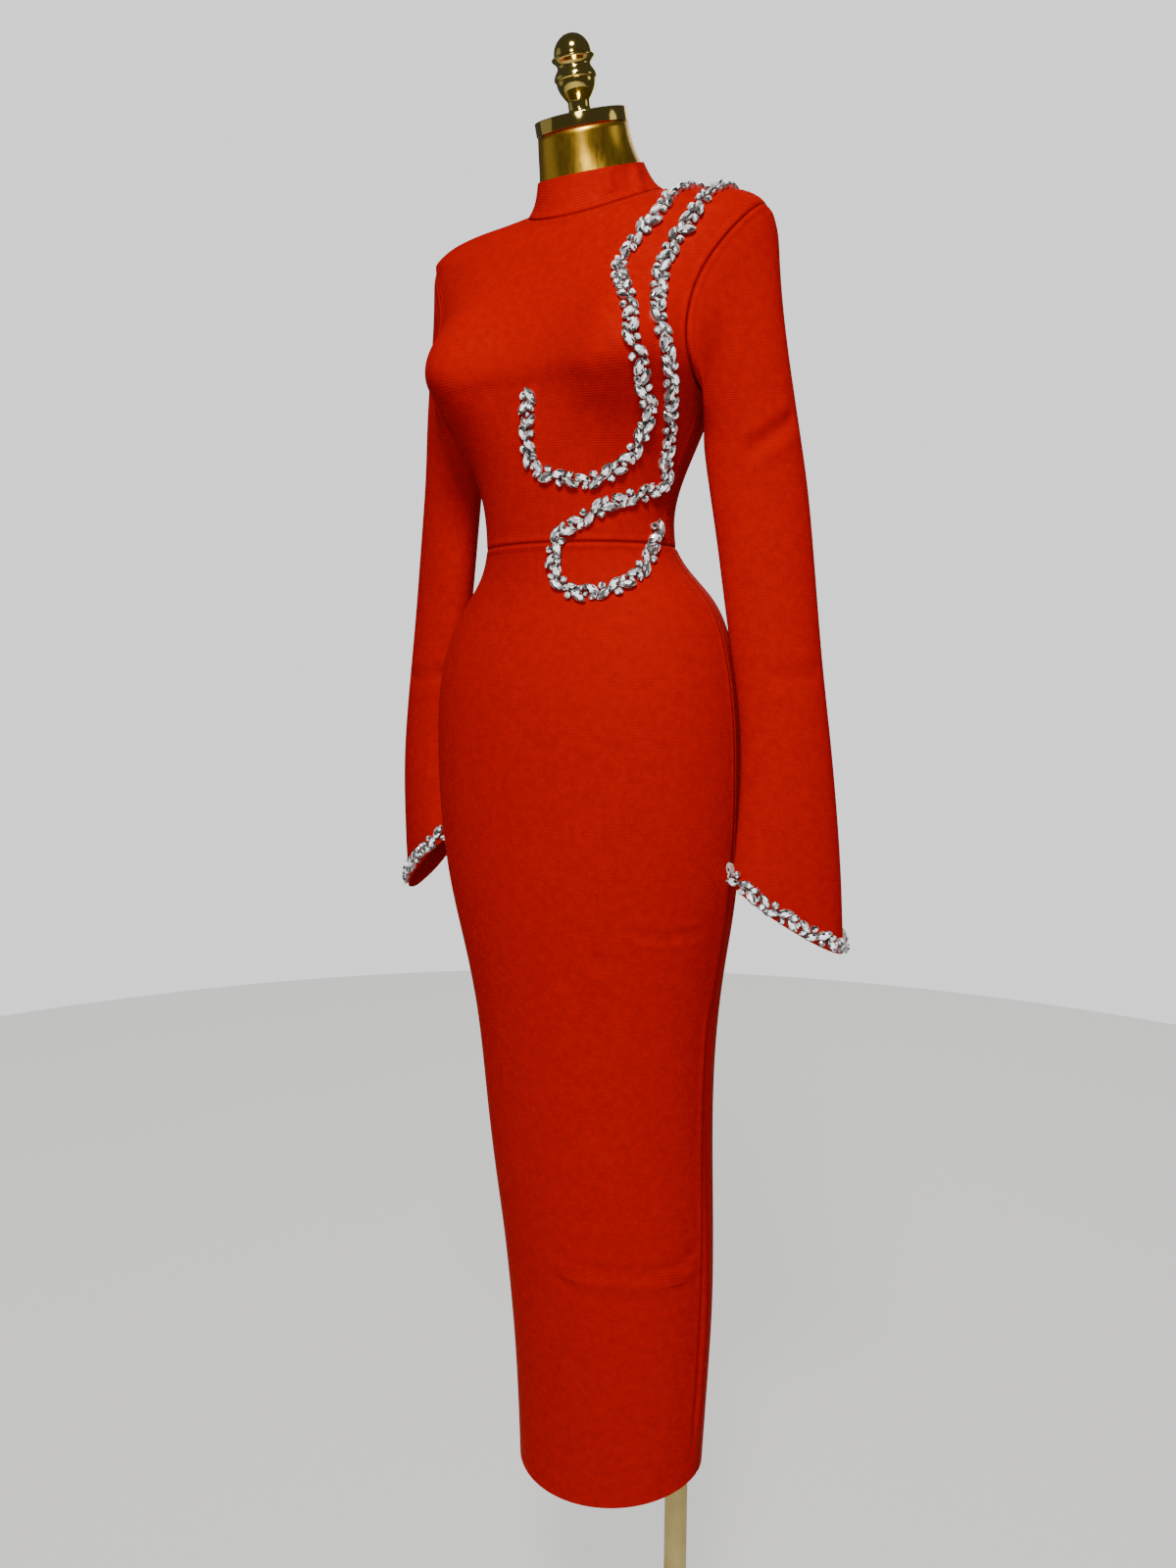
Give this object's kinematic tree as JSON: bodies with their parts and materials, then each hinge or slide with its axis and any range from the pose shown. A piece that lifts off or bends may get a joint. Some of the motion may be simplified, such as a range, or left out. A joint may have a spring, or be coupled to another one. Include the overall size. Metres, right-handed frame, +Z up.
{
  "type": "long-sleeved bodycon dress on a dress form",
  "caption": "Ankle-length long-sleeved bandage-knit bodycon dress with a mock neck, flared cuffs and crystal vine trim, worn by a limbless dress form on a post and round base.",
  "frame": {"origin": "centre of the base plate's underside, on the floor", "axes": "+Z up along the dress; the dress faces -Y; the wearer's left is +X"},
  "size_m": [0.5515, 0.32, 1.7802],
  "materials": {
    "red_knit": "thick ribbed bandage knit, matt with a slight sheen",
    "crystal": "cut stones in silver cups",
    "satin_gold": "satin gold",
    "polished_gold": "polished",
    "pale_gold_metal": "pale satin gold",
    "zip_metal": "enamelled to match the knit"
  },
  "bodies": {
    "dress_on_form": {"bodice_front": "red_knit", "bodice_back_left": "red_knit", "bodice_back_right": "red_knit", "collar": "red_knit", "skirt_front": "red_knit", "skirt_back_left": "red_knit", "skirt_back_right": "red_knit", "sleeve_left": "red_knit", "sleeve_right": "red_knit", "trim_inner": "crystal", "trim_outer": "crystal", "trim_cuff_left": "crystal", "trim_cuff_right": "crystal", "form_torso": "satin_gold", "form_cap": "polished_gold", "form_finial": "polished_gold", "stand_post": "pale_gold_metal", "stand_base": "pale_gold_metal", "zip_slider": "zip_metal"},
    "zip_tab": {"zip_pull": "zip_metal"}
  },
  "joints": [
    {"name": "zip_pull_hinge", "type": "hinge", "parent": "dress_on_form", "child": "zip_tab", "pos_m": [0, 0.05409, 1.67803], "axis": [1, 0, 0], "range_deg": [0, 150]}
  ]
}
